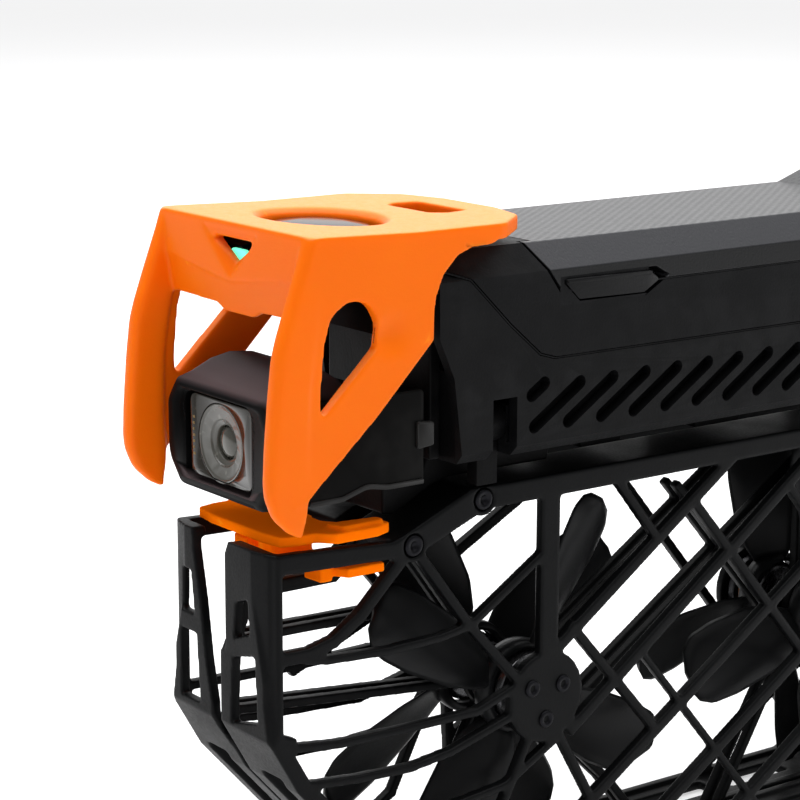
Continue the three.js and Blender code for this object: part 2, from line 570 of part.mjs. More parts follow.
function cageInner(front) {
  const edge = [
    [0.3, 46], [0.3, 35.8], [4.9, 27.8], [14.7, 16.8], [22, 7.6], [30, 0], [121, 0], [134, 6.6],
    [BODY_REAR, 20], [BODY_REAR, 50], [134, 61.6], [26, 61.6], [18, 54.6], [4, 54.6],
  ];
  const to = CAGE_IN + GRILLE;
  const frame = slab('x', CAGE_IN, to, edge, [inset(edge, 2)]);
  const hubs = HUBS.map(([y, z]) => rod('x', y, z, 4.6, CAGE_IN, to, 20));
  const whole = slab('x', CAGE_IN, to, edge);
  const lining = join([frame, ...ribSolids(innerRibs, CAGE_IN, to), ...hubs]).intersect(whole);
  return cut(lining, [leanCut(front)]);
}

const motorBase = (y) => rod('x', y, HUB_Z, 5.9, 9.1, CAGE_OUT - GRILLE - GAP, 24);
const motorBell = (y) => rod('x', y, HUB_Z, 5.4, 4.4, 8.8, 24);

// A blade widens quickly from the hub and ends in a round tip; it is tilted about its own length.
function blade(angle) {
  const root = [[6, -2.4], [10, -5.4], [18, -7.2], [25, -6.8], [28.6, -4.4]];
  const tip = [[PROP_R, 0], [29, 3.4], [25.4, 5.4], [17, 5.2], [9, 3.6], [6, 2.4]];
  const geometry = new THREE.ExtrudeGeometry(shapeOf([...root, ...tip]), { depth: 1, bevelEnabled: false });
  geometry.translate(0, 0, -0.5);
  geometry.rotateX(BLADE_PITCH);
  geometry.rotateZ(angle);
  return geometry.applyMatrix4(EXTRUDE_BASIS.x);
}

function propeller(y, firstBlade) {
  const ring = slab('x', PROP_X - 1.6, PROP_X + 1.6, ellipse(0, 0, 7, 7, 24), [ellipse(0, 0, 5.7, 5.7, 24)]);
  const blades = Array.from({ length: BLADES }, (_, i) => {
    const geometry = blade(firstBlade + (i * 2 * Math.PI) / BLADES);
    return toSolid(geometry.translate(PROP_X, 0, 0));
  });
  return toGeometry(join([ring, ...blades])).translate(0, y, HUB_Z);
}

function addRotors(side, place) {
  const ends = { front: HUB_FRONT_Y, rear: HUB_REAR_Y };
  const firstBlade = { front: side > 0 ? -30 : 30, rear: 10 };
  for (const [end, y] of Object.entries(ends)) {
    const angle = THREE.MathUtils.degToRad(firstBlade[end]);
    place(`motor_${end}`, motorBase(y), finish(0x1c1c1e, 0.4, 0.5));
    place(`motor_bell_${end}`, motorBell(y), finish(0x3a3a3c, 0.3, 0.9));
    place(`propeller_${end}`, propeller(y, angle), finish(0x1e2022, 0.45));
  }
}

function addWing(side) {
  const name = side > 0 ? 'right' : 'left';
  const place = (part, solid, material) => {
    const geometry = solid.isBufferGeometry ? solid : toGeometry(solid);
    addPart(`${part}_${name}`, side > 0 ? geometry : mirrorGeometry(geometry), material);
  };
  const black = finish(0x26272a, 0.55);
  place('cage_grille', cageGrille(side > 0 ? rightRibs : leftRibs), black);
  place('cage_rim', cageRim(FRONTS[name]), black);
  place('cage_inner', cageInner(FRONTS[name]), black);
  addRotors(side, place);
  place('hinge_arm_front', hingeArm(HINGE_YS[0]), black);
  place('hinge_arm_rear', hingeArm(HINGE_YS[1]), black);
  for (const [i, [y, z]] of SCREW_YZ.entries()) {
    const screw = rod('x', y, z, 1.4, CAGE_OUT - 0.6, CAGE_OUT + 0.1, 16);
    place(`cage_screw_${i + 1}`, screw, finish(0x151517, 0.35, 0.8));
  }
}

addBody();
addUnderside();
addBattery();
addCamera();
addPart('gimbal_guard', gimbalGuard(), finish(0xf57c14, 0.45));
addPart('wing_clip', wingClip(), finish(0xf07a14, 0.4));
addWing(1);
addWing(-1);

export default drone;
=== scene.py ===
# Looks for the folded palm drone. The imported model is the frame: positions come from it, in metres.
import math

import bmesh
import bpy
from mathutils import Matrix, Vector
from mathutils.geometry import tessellate_polygon


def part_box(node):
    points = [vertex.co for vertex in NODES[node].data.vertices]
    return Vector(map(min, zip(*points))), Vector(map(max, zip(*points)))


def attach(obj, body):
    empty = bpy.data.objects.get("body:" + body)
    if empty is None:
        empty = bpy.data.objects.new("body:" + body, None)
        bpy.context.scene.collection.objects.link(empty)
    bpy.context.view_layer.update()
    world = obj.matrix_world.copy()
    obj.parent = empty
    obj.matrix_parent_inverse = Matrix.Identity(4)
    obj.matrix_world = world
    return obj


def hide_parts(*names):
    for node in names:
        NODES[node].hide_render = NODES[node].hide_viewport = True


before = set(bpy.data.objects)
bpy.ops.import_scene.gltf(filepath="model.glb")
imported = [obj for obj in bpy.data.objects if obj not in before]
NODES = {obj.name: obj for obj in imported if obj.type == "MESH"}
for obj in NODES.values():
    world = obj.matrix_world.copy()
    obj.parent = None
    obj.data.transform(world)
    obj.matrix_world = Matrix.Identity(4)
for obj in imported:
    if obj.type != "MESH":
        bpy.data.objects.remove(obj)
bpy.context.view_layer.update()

SIDES = {"right": 1, "left": -1}
SHIFT = 70  # outlines are in mm, with y measured back from the cages' front face


def place(x, y, z):
    """A point of an outline, as metres in the frame."""
    return Vector((x / 1000, (y - SHIFT) / 1000, z / 1000))


def middle(node):
    """The y and z of the middle of a CAD node's box, in the outlines' mm."""
    low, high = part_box(node)
    y, z = ((low[i] + high[i]) / 2 * 1000 for i in (1, 2))
    return y + SHIFT, z


HUB_Y = {end: round(middle(f"motor_{end}_right")[0], 3) for end in ("front", "rear")}
HUB_Z = round(middle("motor_front_right")[1], 3)
MODE_Y = round(middle("mode_button")[0], 3)


# ---------------------------------------------------------------- materials
class Nodes:
    """A material's node tree with short ways to add and link nodes."""

    def __init__(self, name):
        self.material = bpy.data.materials.new(name)
        self.material.use_nodes = True
        self.tree = self.material.node_tree
        self.shader = self.tree.nodes["Principled BSDF"]
        self.coords = self.tree.nodes.new("ShaderNodeTexCoord").outputs["Object"]

    def add(self, kind, inputs=(), **settings):
        """A new node. An input may be a value or another node's output."""
        node = self.tree.nodes.new(kind)
        for key, value in settings.items():
            setattr(node, key, value)
        for key, value in dict(inputs).items():
            if isinstance(value, bpy.types.NodeSocket):
                self.tree.links.new(value, node.inputs[key])
            else:
                node.inputs[key].default_value = value
        return node

    def link(self, output, socket):
        """Feeds an input of the shader."""
        self.tree.links.new(output, self.shader.inputs[socket])

    def noise(self, scale, detail=3.0, stretch=None):
        """Noise in the piece's own space. stretch scales it by axis."""
        vector = self.coords
        if stretch:
            vector = self.add("ShaderNodeMapping", {"Vector": vector, "Scale": stretch}).outputs[0]
        inputs = {"Vector": vector, "Scale": scale, "Detail": detail}
        return self.add("ShaderNodeTexNoise", inputs).outputs["Fac"]

    def ramp(self, value, low, high, at=(0.0, 1.0)):
        """low to high, as the value goes through the range in at."""
        node = self.add("ShaderNodeMapRange", {"Value": value})
        node.inputs["From Min"].default_value = at[0]
        node.inputs["From Max"].default_value = at[1]
        node.inputs["To Min"].default_value = low
        node.inputs["To Max"].default_value = high
        return node.outputs["Result"]

    def mix(self, factor, a, b):
        """A colour between a and b."""
        node = self.add("ShaderNodeMix", data_type="RGBA")
        self.tree.links.new(factor, node.inputs["Factor"])
        for socket, colour in ((node.inputs[6], a), (node.inputs[7], b)):
            if isinstance(colour, bpy.types.NodeSocket):
                self.tree.links.new(colour, socket)
            else:
                socket.default_value = (*colour, 1.0)
        return node.outputs[2]

    def maths(self, operation, a, b):
        node = self.add("ShaderNodeMath", operation=operation)
        for socket, value in zip(node.inputs, (a, b)):
            if isinstance(value, bpy.types.NodeSocket):
                self.tree.links.new(value, socket)
            else:
                socket.default_value = value
        return node.outputs[0]

    def bump(self, height, distance):
        node = self.add("ShaderNodeBump", {"Height": height, "Distance": distance})
        self.tree.links.new(node.outputs[0], self.shader.inputs["Normal"])

    def upward(self):
        """1 where the piece's own surface faces up."""
        normal = self.coords.node.outputs["Normal"]
        return self.add("ShaderNodeSeparateXYZ", {"Vector": normal}).outputs["Z"]

    def edges(self, low=0.52, high=0.6):
        """0 on flats, 1 on sharp outer edges."""
        point = self.add("ShaderNodeNewGeometry").outputs["Pointiness"]
        return self.ramp(point, 0.0, 1.0, (low, high))


def set_shader(nodes, **values):
    """Uniform shader values, by input name with _ for a space."""
    for key, value in values.items():
        nodes.shader.inputs[key.replace("_", " ")].default_value = value


def moulded(name, colour, rough, grain=2600.0, depth=0.00003, worn=1.6, shine=0.2):
    """Moulded plastic: fine spark-eroded grain, slow tint drift, edges rubbed a little lighter."""
    n = Nodes(name)
    spread = 0.12
    drift = n.noise(55.0, 4.0)
    fine = n.noise(grain, 2.0)
    dark = tuple(c * (1 - spread) for c in colour)
    light = tuple(min(1.0, c * (1 + spread)) for c in colour)
    base = n.mix(drift, dark, light)
    rubbed = tuple(min(1.0, c * worn + 0.002) for c in colour)
    patchy = n.maths("MULTIPLY", n.edges(), n.ramp(n.noise(260.0), 0.15, 1.0, (0.4, 0.6)))
    n.link(n.mix(patchy, base, rubbed), "Base Color")
    mottle = n.maths("ADD", n.noise(140.0), fine)
    n.link(n.ramp(mottle, rough - 0.07, rough + 0.07, (0.7, 1.3)), "Roughness")
    n.bump(fine, depth)
    set_shader(n, Specular_IOR_Level=shine)
    return n.material


def camera_paint(name):
    """Satin paint, near black on the front frame and the sides, with a painted highlight: a mauve-grey mixed
    in where the hood faces up, standing in for light from above.
    """
    n = Nodes(name)
    grain = n.noise(4200.0, 2.0)
    frame_black = n.mix(n.noise(90.0), (0.0016, 0.0016, 0.0017), (0.0023, 0.0023, 0.0025))
    # Painted highlight: the mauve-grey that the hood's upward faces take for the light from above.
    hood = n.mix(n.noise(90.0), (0.074, 0.057, 0.060), (0.092, 0.071, 0.075))
    n.link(n.mix(n.ramp(n.upward(), 0.0, 1.0, (0.2, 0.85)), frame_black, hood), "Base Color")
    n.link(n.ramp(grain, 0.4, 0.52), "Roughness")
    n.bump(grain, 0.00001)
    set_shader(n, Specular_IOR_Level=0.05)
    return n.material


def metal(name, colour, rough, streak=(1, 1, 1)):
    """Turned or plated metal with fine streaks."""
    n = Nodes(name)
    lines = n.noise(1800.0, 3.0, streak)
    dark = tuple(c * 0.8 for c in colour)
    n.link(n.mix(lines, dark, colour), "Base Color")
    n.link(n.ramp(lines, rough - 0.08, rough + 0.1, (0.3, 0.7)), "Roughness")
    n.bump(lines, 0.00001)
    set_shader(n, Metallic=1.0)
    return n.material


def orange_print(name, shine, top, glow=0.0):
    """Soft orange plastic: satin, faint layer lines, paler at thin edges as painted light shining through,
    and top as a painted highlight where the surface faces up. glow is painted light: the colour given off as
    emission, though the part is no lamp.
    """
    n = Nodes(name)
    drift = n.noise(70.0, 4.0)
    base = n.mix(drift, (0.93, 0.150, 0.0008), (0.98, 0.172, 0.0016))
    # Painted light: thin edges turn paler, as if lit through.
    pale = n.mix(n.edges(0.53, 0.64), base, (1.0, 0.23, 0.006))
    # Painted highlight: top is mixed in where the surface faces up, standing in for light from above.
    n.link(n.mix(n.ramp(n.upward(), 0.0, 1.0, (0.55, 0.95)), pale, top), "Base Color")
    layers = n.noise(900.0, 2.0, (1, 1, 5))
    speck = n.noise(3500.0, 2.0)
    texture = n.maths("ADD", layers, speck)
    n.link(n.ramp(texture, 0.34, 0.46, (0.7, 1.3)), "Roughness")
    # Painted light: the edge-paled colour is given off as emission at glow strength, though the part is no
    # lamp.
    n.link(pale, "Emission Color")
    n.bump(texture, 0.000018)
    set_shader(n, Subsurface_Weight=0.25, Subsurface_Radius=(1.0, 0.3, 0.04), Subsurface_Scale=0.0018,
               Specular_IOR_Level=shine, Emission_Strength=glow)
    return n.material


def pack_top(name):
    """The battery's case: crossed hairlines woven over the lid, dark sides, and painted light: the lid's
    colour lifted above the sides' for a painted sheen, and a painted highlight on the chamfer, lighter the
    more it faces up.
    """
    n = Nodes(name)
    waves = []
    for angle in (math.radians(38), math.radians(-38)):
        turned = n.add("ShaderNodeMapping", {"Vector": n.coords, "Rotation": (0, 0, angle)}).outputs[0]
        inputs = {"Vector": turned, "Scale": 260.0, "Distortion": 0.0}
        wave = n.add("ShaderNodeTexWave", inputs, bands_direction="X")
        waves.append(wave.outputs["Fac"])
    weave = n.maths("MULTIPLY", waves[0], waves[1])
    lid = n.ramp(n.upward(), 0.0, 1.0, (0.8, 0.99))
    shoulder = n.ramp(n.upward(), 0.0, 1.0, (0.1, 0.85))
    drift = n.noise(60.0)
    plain = n.mix(drift, (0.0048, 0.005, 0.0054), (0.0064, 0.0066, 0.0072))
    # Painted sheen: the hairline weave is real, but the lid's colour is lifted far above the sides' to stand
    # in for the light it catches.
    top = n.mix(weave, (0.023, 0.0232, 0.0252), (0.042, 0.0424, 0.046))
    # Painted highlight: the chamfer lightens the more it faces up, a band of light along the lid's edge.
    chamfer = n.mix(shoulder, plain, (0.076, 0.077, 0.084))
    n.link(n.mix(lid, chamfer, top), "Base Color")
    fine = n.noise(2600.0, 2.0)
    n.link(n.ramp(n.maths("ADD", weave, fine), 0.34, 0.52, (0.4, 1.4)), "Roughness")
    threads = n.maths("MULTIPLY", n.maths("MULTIPLY", weave, lid), 1.4)
    n.bump(n.maths("ADD", threads, fine), 0.00003)
    n.link(n.ramp(lid, 0.2, 0.38), "Specular IOR Level")
    return n.material


def gloss(name, colour, rough, coat=0.25, shine=0.5):
    """Polished cover: clean, with faint specks of dust and a shine that drifts a little."""
    n = Nodes(name)
    dust = n.ramp(n.noise(900.0, 5.0), 0.0, 1.0, (0.62, 0.75))
    n.link(n.mix(dust, colour, tuple(c * 2 + 0.01 for c in colour)), "Base Color")
    n.link(n.ramp(n.noise(120.0), rough, rough + 0.05), "Roughness")
    set_shader(n, Coat_Weight=coat, Coat_Roughness=0.03, Specular_IOR_Level=shine)
    return n.material


def coated_glass(name, colour):
    """Coated lens glass that mirrors a bright room: a dim grey base colour that is a painted reflection of
    the room, under a thin clear coat.
    """
    n = Nodes(name)
    # Painted reflection: the lens's grey drifts a little across the disc.
    reflection_drift = n.noise(240.0)
    n.link(n.mix(reflection_drift, tuple(c * 0.85 for c in colour), colour), "Base Color")
    n.link(n.ramp(n.noise(500.0), 0.04, 0.08), "Roughness")
    set_shader(n, Coat_Weight=0.35, Coat_Roughness=0.02, Coat_Tint=(1.0, 0.98, 0.9, 1.0))
    return n.material


def lit(name, colour, strength):
    """A small lit lens with a faint grain in its glow."""
    n = Nodes(name)
    cells = n.ramp(n.noise(1500.0), 0.7, 1.0)
    tint = n.mix(cells, tuple(c * 0.6 for c in colour), colour)
    n.link(tint, "Base Color")
    n.link(tint, "Emission Color")
    set_shader(n, Emission_Strength=strength, Roughness=0.2)
    return n.material


SHELL = moulded("body_shell_black", (0.0029, 0.0030, 0.0033), 0.5, shine=0.09)
UPPER = moulded("body_upper_black", (0.0031, 0.0032, 0.0036), 0.48, shine=0.09)
NOSE = moulded("nose_black", (0.0022, 0.0022, 0.0024), 0.42, shine=0.06)
CAGE = moulded("cage_black", (0.0025, 0.0027, 0.0030), 0.46, depth=0.00002, shine=0.09)
BLADE = moulded("blade_black", (0.0056, 0.0058, 0.0062), 0.36, depth=0.00001, shine=0.14)
CAMERA_GREY = camera_paint("camera_grey")
CAMERA_SIDE = moulded("camera_arm_grey", (0.0019, 0.0018, 0.0016), 0.45, 4000.0, 0.00001, shine=0.05)
STRIP = moulded("arm_strip_grey", (0.010, 0.0098, 0.0094), 0.4, grain=4000.0, depth=0.00001)
LATCH = moulded("latch_black", (0.0046, 0.0047, 0.0051), 0.4, worn=3.0, shine=0.16)
BUTTON = moulded("button_black", (0.010, 0.010, 0.0106), 0.4)
BOARD = moulded("board_green", (0.01, 0.07, 0.03), 0.4)
WRAP = moulded("cell_wrap", (0.05, 0.06, 0.08), 0.35)
SCREW = metal("screw_black", (0.014, 0.014, 0.016), 0.4)
STEEL = metal("pin_steel", (0.6, 0.61, 0.63), 0.3, (1, 8, 1))
MOTOR = metal("motor_dark", (0.05, 0.05, 0.053), 0.32, (8, 1, 1))
BELL = metal("motor_bell_grey", (0.12, 0.12, 0.125), 0.28, (8, 1, 1))
COPPER = metal("winding_copper", (0.75, 0.28, 0.1), 0.35)
GOLD = metal("contact_gold", (0.8, 0.55, 0.2), 0.3)
PLATED = metal("port_plated", (0.62, 0.63, 0.65), 0.25)
# The guard's top colour is a painted highlight: a paler orange for the light falling on its upward faces.
ORANGE = orange_print("guard_orange", 0.1, (0.98, 0.30, 0.07))
# The clip's glow is painted light: an orange emission that lifts the shade it sits in under the camera.
CLIP_ORANGE = orange_print("clip_orange", 0.0, (0.98, 0.17, 0.002), 0.13)
PACK = pack_top("pack_lid")
GLOSS = gloss("gloss_black", (0.003, 0.0033, 0.0045), 0.12, 0.0, 0.06)
WINDOW = gloss("window_bronze", (0.013, 0.0105, 0.0065), 0.14, 0.12, 0.4)
# Painted reflection: the lens rings and the lens are light grey to stand in for the bright room reflected in
# the glass in front of them.
LENS_RING = gloss("lens_ring_grey", (0.060, 0.058, 0.048), 0.22)
LENS = coated_glass("lens_glass", (0.048, 0.046, 0.038))
MARK = moulded("mark_gold", (0.11, 0.072, 0.022), 0.4)
LED = lit("led_green", (0.16, 0.95, 0.66), 1.1)


# ---------------------------------------------------------------- mesh tools
AXES = {
    "x": lambda u, v, w: (w, u, v),
    "y": lambda u, v, w: (u, w, v),
    "z": lambda u, v, w: (u, v, w),
}


def piece(name, mesh, body, material, replaces=(), smooth=True):
    """Makes a mesh into a named piece that moves with a body, and hides the CAD nodes it replaces."""
    obj = bpy.data.objects.new(name, mesh)
    bpy.context.scene.collection.objects.link(obj)
    mesh.materials.clear()
    mesh.materials.append(material)
    if smooth:
        mesh.shade_smooth()
    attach(obj, body)
    if replaces:
        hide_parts(*replaces)


def mesh_of(name, bm):
    """Turns a bmesh into a mesh, with its faces outwards."""
    bmesh.ops.recalc_face_normals(bm, faces=bm.faces)
    mesh = bpy.data.meshes.new(name)
    bm.to_mesh(mesh)
    bm.free()
    return mesh


def rounded(points, radius, steps=5):
    """The outline with each corner replaced by an arc. radius is one number or one per corner."""
    share = 0.48  # the most of an edge that one arc takes
    straight = 3.1  # a corner this open, in radians, stays as it is
    count = len(points)
    radii = radius if isinstance(radius, (list, tuple)) else [radius] * count
    out = []
    for i, (u, v) in enumerate(points):
        corner = Vector((u, v))
        before = Vector(points[i - 1]) - corner
        after = Vector(points[(i + 1) % count]) - corner
        angle = before.angle(after)
        reach = min(radii[i] / math.tan(angle / 2), before.length * share, after.length * share)
        if reach < 1e-6 or angle > straight:
            out.append((u, v))
            continue
        start = corner + before.normalized() * reach
        end = corner + after.normalized() * reach
        for k in range(steps + 1):
            t = k / steps
            point = start * (1 - t) ** 2 + corner * 2 * t * (1 - t) + end * t**2
            out.append((point.x, point.y))
    return out


def ellipse(u, v, sides, ru, rv=None):
    """An ellipse of two radii about (u, v), or a circle of one."""
    rv = ru if rv is None else rv
    step = 2 * math.pi / sides
    return [(u + ru * math.cos(i * step), v + rv * math.sin(i * step)) for i in range(sides)]


def symmetric(points):
    """The right half of an outline, followed by its mirror image."""
    return points + [(-u, v) for u, v in reversed(points)]


def add_wall(bm, a, b):
    """Joins two rings of equal length with faces."""
    for i in range(len(a)):
        j = (i + 1) % len(a)
        bm.faces.new((a[i], a[j], b[j], b[i]))


def add_cap(bm, loops):
    """Fills an outer loop of vertices, less the loops inside it."""
    flat = [v for loop in loops for v in loop]
    for triangle in tessellate_polygon([[v.co for v in loop] for loop in loops]):
        if len({flat[i] for i in triangle}) == 3:
            bm.faces.new([flat[i] for i in triangle])


def add_prism(bm, axis, low, high, outline, holes=(), stepped=()):
    """A closed prism. A hole is one ring; a stepped hole is a list of (depth, ring) pairs."""
    to3 = AXES[axis]

    def ring(points, w):
        return [bm.verts.new(place(*to3(u, v, w))) for u, v in points]

    outer = [ring(outline, low), ring(outline, high)]
    add_wall(bm, *outer)
    caps = [[outer[0]], [outer[1]]]
    for stages in [*stepped, *([(low, hole), (high, hole)] for hole in holes)]:
        rings = [ring(points, w) for w, points in stages]
        for a, b in zip(rings, rings[1:]):
            add_wall(bm, a, b)
        caps[0].append(rings[0])
        caps[1].append(rings[-1])
    for loops in caps:
        add_cap(bm, loops)


def side_prism(sign, inner, outer, outline, holes=()):
    """add_prism's values for a wall across x, between two distances from the middle on one side."""
    low, high = sorted((sign * inner, sign * outer))
    return ("x", low, high, outline, holes)


def prism_mesh(name, *prisms):
    """One mesh of several prisms, each given as add_prism's values."""
    bm = bmesh.new()
    for prism in prisms:
        add_prism(bm, *prism)
    return mesh_of(name, bm)


def add_loft(bm, sections):
    """A closed skin over equal-length rings of 3D points, capped at both ends."""
    rings = [[bm.verts.new(p) for p in section] for section in sections]
    for a, b in zip(rings, rings[1:]):
        add_wall(bm, a, b)
    bm.faces.new(rings[0])
    bm.faces.new(list(reversed(rings[-1])))


def loft_mesh(name, sections):
    bm = bmesh.new()
    add_loft(bm, sections)
    return mesh_of(name, bm)


def add_lathe(bm, axis, centre, profile, sides):
    """A closed profile of (radius, along) pairs turned about an axis through centre (u, v)."""
    to3 = AXES[axis]
    rings = []
    for radius, along in profile:
        points = ellipse(*centre, sides, radius) if radius > 0 else [centre]
        rings.append([bm.verts.new(place(*to3(u, v, along))) for u, v in points])
    closed = len(rings[0]) > 1
    pairs = list(zip(rings, rings[1:])) + ([(rings[-1], rings[0])] if closed else [])
    for a, b in pairs:
        for i in range(sides):
            j = (i + 1) % sides
            corners = [a[i % len(a)], a[j % len(a)], b[j % len(b)], b[i % len(b)]]
            unique = list(dict.fromkeys(corners))
            if len(unique) > 2:
                bm.faces.new(unique)


def lathe_mesh(name, axis, centre, profile, sides):
    bm = bmesh.new()
    add_lathe(bm, axis, centre, profile, sides)
    return mesh_of(name, bm)


def outward(sign, profile):
    """A lathe profile given by distance from the middle plane, put on one side of it."""
    return [(radius, sign * along) for radius, along in profile]


def applied(mesh, *steps):
    """A new mesh with modifiers applied. A step is (type, settings)."""
    obj = bpy.data.objects.new("work", mesh)
    bpy.context.scene.collection.objects.link(obj)
    for kind, settings in steps:
        modifier = obj.modifiers.new(kind.lower(), kind)
        for key, value in settings.items():
            setattr(modifier, key, value)
    graph = bpy.context.evaluated_depsgraph_get()
    result = bpy.data.meshes.new_from_object(obj.evaluated_get(graph))
    bpy.data.objects.remove(obj)
    return result


def bevelled(mesh, width, segments):
    """A new mesh with rounded edges. The width is in mm."""
    return applied(
        mesh,
        ("WELD", {"merge_threshold": 1e-6}),
        ("DECIMATE", {"decimate_type": "DISSOLVE", "angle_limit": math.radians(2)}),
        ("BEVEL", {"width": width / 1000, "segments": segments, "limit_method": "ANGLE",
                   "angle_limit": math.radians(30), "harden_normals": False, "use_clamp_overlap": True}),
        ("WEIGHTED_NORMAL", {"keep_sharp": False}),
    )


def fused(mesh, voxel, smooth, keep):
    """Overlapping closed solids fused into one skin with soft inside corners. The voxel is in mm."""
    return applied(
        mesh,
        ("REMESH", {"mode": "VOXEL", "voxel_size": voxel / 1000, "use_smooth_shade": True}),
        ("SMOOTH", {"factor": 0.5, "iterations": smooth}),
        ("DECIMATE", {"decimate_type": "COLLAPSE", "ratio": keep}),
    )


def finish_node(name, material, bevel):
    """A CAD node that stays: its hard edges get a small radius in mm, and it gets its finish."""
    obj = NODES[name]
    obj.data.materials.clear()
    obj.data.materials.append(material)
    obj.modifiers.new("weld", "WELD").merge_threshold = 1e-6
    flat = obj.modifiers.new("flat", "DECIMATE")
    flat.decimate_type = "DISSOLVE"
    flat.angle_limit = math.radians(1.5)
    edge = obj.modifiers.new("edge", "BEVEL")
    edge.width = bevel / 1000
    edge.segments = 3
    edge.limit_method = "ANGLE"
    edge.angle_limit = math.radians(28)
    edge.use_clamp_overlap = True
    obj.modifiers.new("normals", "WEIGHTED_NORMAL")
    obj.data.shade_smooth()


# ---------------------------------------------------------------- CAD nodes that stay
# Name, material, slot and edge radius in mm.
KEPT = [
    ("lower_shell", SHELL, "shell_black", 0.2), ("upper_shell", UPPER, "shell_black", 0.2),
    ("nose_housing", NOSE, "nose_black", 0.5), ("power_button", BUTTON, "button_grey", 0.3),
    ("main_board", BOARD, "circuit_green", 0.1), ("usb_port", PLATED, "plated_metal", 0.3),
    ("front_sensor_pod", NOSE, "nose_black", 0.3), ("rear_sensor_pod", NOSE, "nose_black", 0.3),
    ("downward_lens", LENS, "lens_glass", 0.2), ("battery_case", PACK, "pack_black", 0.9),
    ("battery_cells", WRAP, "cell_wrap", 0.5), ("battery_connector", GOLD, "contact_gold", 0.1),
    ("gimbal_bracket", NOSE, "nose_black", 0.3), ("roll_motor", MOTOR, "motor_metal", 0.3),
    ("pitch_motor", MOTOR, "motor_metal", 0.3), ("chin_cover", NOSE, "nose_black", 0.4),
]


def finish_kept():
    for name, material, slot, bevel in KEPT:
        finish_node(name, material, bevel)
    for end in HUB_Y:
        for side in SIDES:
            finish_node(f"hinge_pin_{end}_{side}", STEEL, 0.15)
            # Painted shade: the hinge arms take the darkest black so the slots they sit in read as deep
            # shade.
            finish_node(f"hinge_arm_{end}_{side}", NOSE, 0.3)
            finish_node(f"motor_{end}_{side}", MOTOR, 0.3)


# ---------------------------------------------------------------- orange guard and clip
# A tusk's front and back edge, as (z, y) pairs from the tip up.
TUSK_FRONT = [(65.1, 1.8), (65.7, 0.4), (68.2, -2.2), (71, -3.3), (73, -3.45), (77.5, -3.2), (84, -2.6),
              (89, -2.0), (91.5, -1.3), (96, 0.3), (104.2, 3.2)]
TUSK_BACK = [(65.1, 2.3), (69.3, 2.8), (72, 2.7), (76, 2.5), (84.5, 2.7), (92.7, 4.1), (104.2, 4.7)]
# A cheek's front and back edge and its teardrop hole, as (y, z) pairs.
CHEEK_FRONT = [(3.8, 104.2), (2.2, 99), (0.6, 92), (-0.8, 84), (-1.4, 77), (-1.2, 72.6), (0.4, 69.4),
               (2.4, 69.8)]
CHEEK_BACK = [(3.6, 71), (13.9, 80.1), (22.7, 88.9), (23.0, 94.4), (24.3, 97.6), (26.6, 99.9), (30.2, 101.2),
              (33.0, 101.7), (34.0, 102.6), (34.0, 104.2)]
TEARDROP = [(4.7, 80.6), (13.5, 88.9), (13.9, 92.2), (12.2, 95.0), (9.2, 95.6), (6.3, 93.9), (5.2, 90.2),
            (4.5, 83)]


def between(table, key):
    """Straight interpolation in a list of (key, value) pairs."""
    for (k0, v0), (k1, v1) in zip(table, table[1:]):
        if key <= k1:
            return v0 + (v1 - v0) * (key - k0) / (k1 - k0)
    return table[-1][1]


def tusk_sections(sign):
    """Rounded level sections of a tusk, from its tip to the top plate."""
    inner_x = [(65, 16.6), (68, 16.4), (104, 16.2)]
    outer_x = [(65, 17.8), (67, 18.4), (72, 18.9), (84, 19.1), (96, 18.9), (104, 18.4)]
    tip, top, count = 65.1, 104.1, 44
    sections = []
    for k in range(count):
        z = tip + (top - tip) * k / (count - 1)
        front = between(TUSK_FRONT, z)
        back = max(between(TUSK_BACK, z), front + 0.5)
        x0 = between(inner_x, z)
        x1 = between(outer_x, z)
        ring = rounded([(x0, front), (x1, front), (x1, back), (x0, back)], [1.1, 1.7, 0.3, 0.6])
        sections.append([place(sign * x, y, z) for x, y in ring])
    return sections


def add_guard_plate(bm):
    """The top plate, with a flared oval hole over the mode key and a notch over the power key."""
    half_plan = [(18.4, 3.1), (18.7, 34.8), (13.2, 41.2), (6, 43.2)]
    plan = rounded(symmetric(half_plan), [2.6, 2.0, 1.6, 3, 3, 1.6, 2.0, 2.6])
    throat = ellipse(0, MODE_Y, 64, 9.8, 7.6)
    mode_hole = [(102.0, throat), (103.4, throat), (104.3, ellipse(0, MODE_Y, 64, 10.8, 8.6))]
    power_hole = [(-4.8, 32.4), (4.8, 32.4), (6.2, 34.2), (5.6, 38), (-5.6, 38), (-6.2, 34.2)]
    add_prism(bm, "z", 102.0, 104.3, plan, [rounded(power_hole, 0.8)], [mode_hole])


def add_guard_visor(bm):
    """The front band with its bevelled triangular notch, and the lower band that leans back."""
    notch_face = [(-7.2, 103.4), (0, 96.8), (7.2, 103.4)]
    notch_throat = [(-5.5, 102.3), (0, 98.8), (5.5, 102.3)]
    notch = [(2.9, notch_face), (4.1, notch_throat), (4.9, notch_throat)]
    band = [(-17, 104.1), (-17, 98.4), (0, 96.2), (17, 98.4), (17, 104.1)]
    add_prism(bm, "y", 2.9, 4.9, band, stepped=[notch])
    upper_edge = [(-16.6, 99.0), (-6.6, 98.0), (0, 97.0), (6.6, 98.0), (16.6, 99.0)]
    lower_edge = [(16.6, 92.8), (5.4, 92.6), (3.4, 91.7), (-3.4, 91.7), (-5.4, 92.6), (-16.6, 92.8)]
    sections = []
    for y, lean in ((3.0, 1.1), (4.9, 0.3)):
        upper = [place(x, y, z) for x, z in upper_edge]
        sections.append(upper + [place(x, y + lean, z) for x, z in lower_edge])
    add_loft(bm, sections)


